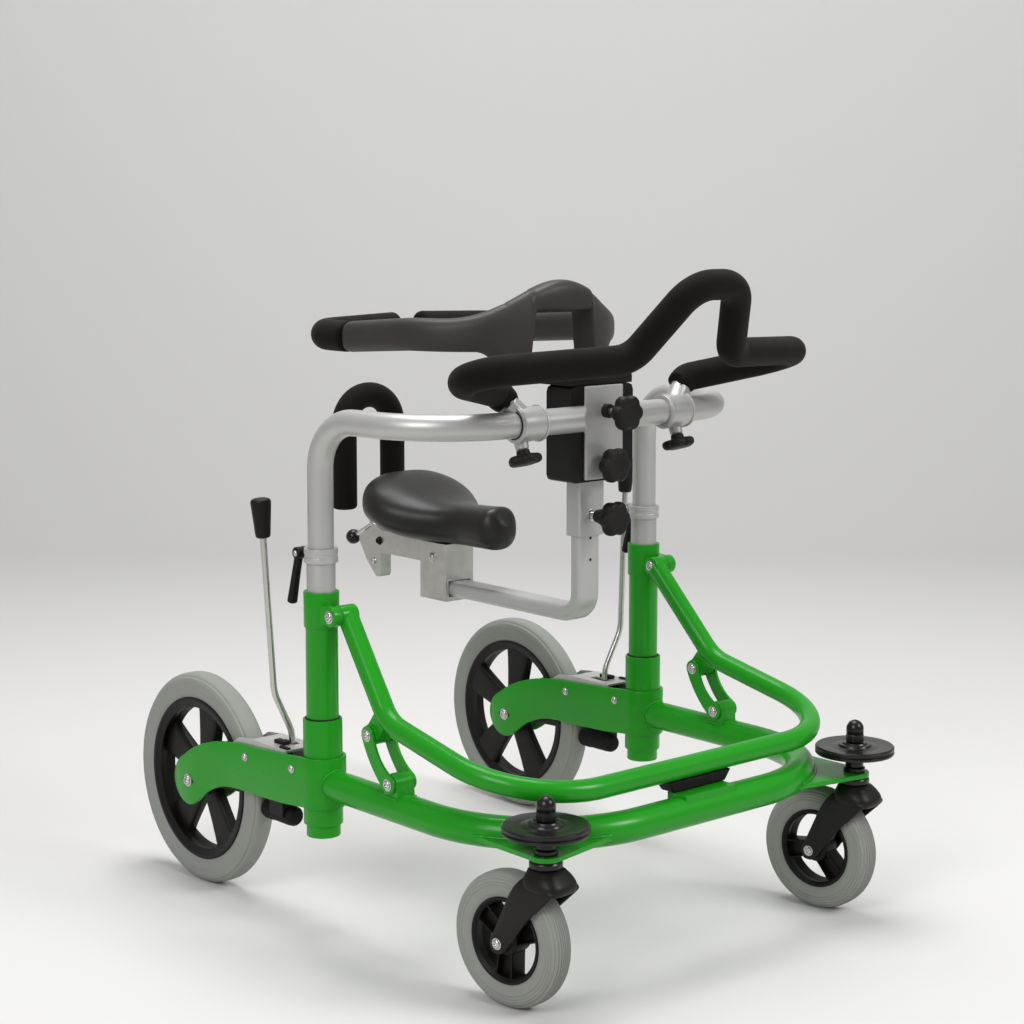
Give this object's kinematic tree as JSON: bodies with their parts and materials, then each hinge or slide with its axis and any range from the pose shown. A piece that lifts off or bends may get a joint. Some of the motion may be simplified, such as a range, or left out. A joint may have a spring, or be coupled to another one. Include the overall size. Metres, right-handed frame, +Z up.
{
  "type": "gait trainer",
  "caption": "Wheeled walking frame for a child: green tube frame on large rear wheels and castors, silver height-adjustable bow, trunk ring, saddle, foam handlebar and brakes.",
  "frame": {"origin": "on the floor, under the middle of the bounding box", "axes": "+Z up, -Y the walking direction, +X to the user's left"},
  "size_m": [0.6524, 0.8496, 0.8239],
  "materials": {
    "green_paint": "glossy green powder coat on steel tube and plate",
    "silver_paint": "silver-grey satin powder coat on steel",
    "bright_steel": "bright drawn steel rod",
    "grey_tyre": "matt grey solid tyre",
    "black_plastic": "satin black moulded plastic",
    "gloss_black": "glossy black moulded plastic",
    "foam": "matt black foam over steel tube",
    "pad_skin": "smooth black skinned foam",
    "black_rubber": "matt black rubber block"
  },
  "bodies": {
    "base": {"lower_frame": "green_paint", "rubber_buffer": "black_rubber", "upright_socket_right": "green_paint", "upright_tube_right": "green_paint", "height_sleeve_right": "silver_paint", "clamp_ring_right": "silver_paint", "wheel_fork_right": "green_paint", "brake_bridge_right": "silver_paint", "castor_bracket_right": "green_paint", "upright_socket_left": "green_paint", "upright_tube_left": "green_paint", "height_sleeve_left": "silver_paint", "clamp_ring_left": "silver_paint", "wheel_fork_left": "green_paint", "brake_bridge_left": "silver_paint", "castor_bracket_left": "green_paint"},
    "rear_wheel_right": {"rear_tyre_right": "grey_tyre", "rear_rim_right": "black_plastic"},
    "castor_right": {"castor_fork_right": "black_plastic"},
    "castor_wheel_right": {"castor_tyre_right": "grey_tyre", "castor_rim_right": "black_plastic"},
    "bumper_right": {"bumper_disc_right": "gloss_black"},
    "brake_right": {"brake_lever_right": "bright_steel"},
    "shoe_right": {"brake_shoe_right": "black_rubber"},
    "clamp_right": {"clamp_lever_right": "black_plastic"},
    "grip_knob_right": {"handlebar_clamp_knob_right": "black_plastic"},
    "gate_right": {"ring_gate_right": "foam"},
    "rear_wheel_left": {"rear_tyre_left": "grey_tyre", "rear_rim_left": "black_plastic"},
    "castor_left": {"castor_fork_left": "black_plastic"},
    "castor_wheel_left": {"castor_tyre_left": "grey_tyre", "castor_rim_left": "black_plastic"},
    "bumper_left": {"bumper_disc_left": "gloss_black"},
    "brake_left": {"brake_lever_left": "bright_steel"},
    "shoe_left": {"brake_shoe_left": "black_rubber"},
    "clamp_left": {"clamp_lever_left": "black_plastic"},
    "grip_knob_left": {"handlebar_clamp_knob_left": "black_plastic"},
    "gate_left": {"ring_gate_left": "foam"},
    "bow": {"front_bow": "green_paint"},
    "links": {"bow_link_right": "green_paint", "bow_link_left": "green_paint"},
    "top": {"top_bow": "silver_paint", "guide_block": "black_plastic", "seat_tube_housing": "silver_paint"},
    "grip": {"handlebar": "foam", "handlebar_clamp_right": "silver_paint", "handlebar_clamp_left": "silver_paint"},
    "ring": {"ring_carrier": "black_plastic", "ring_pad": "pad_skin"},
    "post": {"seat_post": "silver_paint"},
    "seat": {"saddle": "pad_skin", "saddle_clamp": "silver_paint", "rear_loop": "foam"},
    "seat_lever": {"saddle_clamp_lever": "black_plastic"},
    "ring_knob": {"ring_star_knob": "black_plastic"},
    "column_knob": {"column_star_knob": "black_plastic"},
    "seat_knob": {"seat_star_knob": "black_plastic"}
  },
  "joints": [
    {"name": "rear_axle_right", "type": "hinge", "parent": "base", "child": "rear_wheel_right", "pos_m": [-0.2765, 0.28401, 0.14], "axis": [1, 0, 0], "continuous": true},
    {"name": "castor_swivel_right", "type": "hinge", "parent": "base", "child": "castor_right", "pos_m": [-0.262, -0.37569, 0.17], "axis": [0, 0, 1], "continuous": true},
    {"name": "castor_axle_right", "type": "hinge", "parent": "castor_right", "child": "castor_wheel_right", "pos_m": [-0.26831, -0.3271, 0.0784], "axis": [0.9917, 0.1288, 0], "continuous": true},
    {"name": "bumper_pivot_right", "type": "hinge", "parent": "base", "child": "bumper_right", "pos_m": [-0.262, -0.37569, 0.215], "axis": [0, 0, 1], "continuous": true},
    {"name": "brake_pivot_right", "type": "hinge", "parent": "base", "child": "brake_right", "pos_m": [-0.2705, 0.09261, 0.19], "axis": [1, 0, 0], "range_deg": [-25, 0]},
    {"name": "brake_shoe_slide_right", "type": "slide", "parent": "base", "child": "shoe_right", "axis": [0, 1, 0], "range_m": [0, 0.0024]},
    {"name": "height_clamp_pivot_right", "type": "hinge", "parent": "base", "child": "clamp_right", "pos_m": [-0.2873, 0.05031, 0.4719], "axis": [1, 0, 0], "range_deg": [0, 110]},
    {"name": "rear_axle_left", "type": "hinge", "parent": "base", "child": "rear_wheel_left", "pos_m": [0.2765, 0.28401, 0.14], "axis": [1, 0, 0], "continuous": true},
    {"name": "castor_swivel_left", "type": "hinge", "parent": "base", "child": "castor_left", "pos_m": [0.262, -0.37569, 0.17], "axis": [0, 0, 1], "continuous": true},
    {"name": "castor_axle_left", "type": "hinge", "parent": "castor_left", "child": "castor_wheel_left", "pos_m": [0.25569, -0.3271, 0.0784], "axis": [0.9917, 0.1288, 0], "continuous": true},
    {"name": "bumper_pivot_left", "type": "hinge", "parent": "base", "child": "bumper_left", "pos_m": [0.262, -0.37569, 0.215], "axis": [0, 0, 1], "continuous": true},
    {"name": "brake_pivot_left", "type": "hinge", "parent": "base", "child": "brake_left", "pos_m": [0.2705, 0.09261, 0.19], "axis": [1, 0, 0], "range_deg": [-25, 0]},
    {"name": "brake_shoe_slide_left", "type": "slide", "parent": "base", "child": "shoe_left", "axis": [0, 1, 0], "range_m": [0, 0.0024]},
    {"name": "height_clamp_pivot_left", "type": "hinge", "parent": "base", "child": "clamp_left", "pos_m": [0.2873, 0.05031, 0.4719], "axis": [1, 0, 0], "range_deg": [0, 110]},
    {"name": "bow_pivot", "type": "hinge", "parent": "base", "child": "bow", "pos_m": [0, -0.01569, 0.4014], "axis": [1, 0, 0], "range_deg": [-4, 0]},
    {"name": "link_pivot", "type": "hinge", "parent": "base", "child": "links", "pos_m": [0, -0.13229, 0.2184], "axis": [1, 0, 0], "range_deg": [0, 9.2]},
    {"name": "height_adjust", "type": "slide", "parent": "base", "child": "top", "axis": [0, 0, 1], "range_m": [-0.05, 0.12]},
    {"name": "handlebar_tilt", "type": "hinge", "parent": "top", "child": "grip", "pos_m": [0, -0.18569, 0.6385], "axis": [1, 0, 0], "range_deg": [-20, 20]},
    {"name": "grip_knob_turn_right", "type": "hinge", "parent": "grip", "child": "grip_knob_right", "pos_m": [-0.13, -0.19019, 0.5963], "axis": [0, 0.309, 0.9511], "range_deg": [-180, 180]},
    {"name": "grip_knob_turn_left", "type": "hinge", "parent": "grip", "child": "grip_knob_left", "pos_m": [0.13, -0.19019, 0.5963], "axis": [0, 0.309, 0.9511], "range_deg": [-180, 180]},
    {"name": "ring_knob_turn", "type": "hinge", "parent": "top", "child": "ring_knob", "pos_m": [0, -0.22969, 0.6469], "axis": [0, 1, 0], "range_deg": [-180, 180]},
    {"name": "column_knob_turn", "type": "hinge", "parent": "top", "child": "column_knob", "pos_m": [0, -0.20869, 0.581], "axis": [0, 1, 0], "range_deg": [-180, 180]},
    {"name": "seat_knob_turn", "type": "hinge", "parent": "top", "child": "seat_knob", "pos_m": [0, -0.20849, 0.515], "axis": [0, 1, 0], "range_deg": [-180, 180]},
    {"name": "ring_height", "type": "slide", "parent": "top", "child": "ring", "axis": [0, 0, 1], "range_m": [0, 0.06]},
    {"name": "gate_pivot_right", "type": "hinge", "parent": "ring", "child": "gate_right", "pos_m": [-0.1515, 0.12481, 0.72825], "axis": [0, 1, 0], "range_deg": [-180, 0]},
    {"name": "gate_pivot_left", "type": "hinge", "parent": "ring", "child": "gate_left", "pos_m": [0.1515, 0.12481, 0.72825], "axis": [0, 1, 0], "range_deg": [0, 180]},
    {"name": "seat_height", "type": "slide", "parent": "top", "child": "post", "axis": [0, 0, 1], "range_m": [-0.07, 0.05]},
    {"name": "saddle_slide", "type": "slide", "parent": "post", "child": "seat", "axis": [0, 1, 0], "range_m": [-0.04, 0]},
    {"name": "saddle_lever_pivot", "type": "hinge", "parent": "seat", "child": "seat_lever", "pos_m": [0, 0.27031, 0.45016], "axis": [0, 0.454, 0.891], "range_deg": [0, 80]}
  ],
  "couplings": [
    {"joint": "link_pivot", "follows": "bow_pivot", "ratio": -2.3},
    {"joint": "brake_shoe_slide_right", "follows": "brake_pivot_right", "m_per_rad": -0.0055},
    {"joint": "brake_shoe_slide_left", "follows": "brake_pivot_left", "m_per_rad": -0.0055}
  ]
}
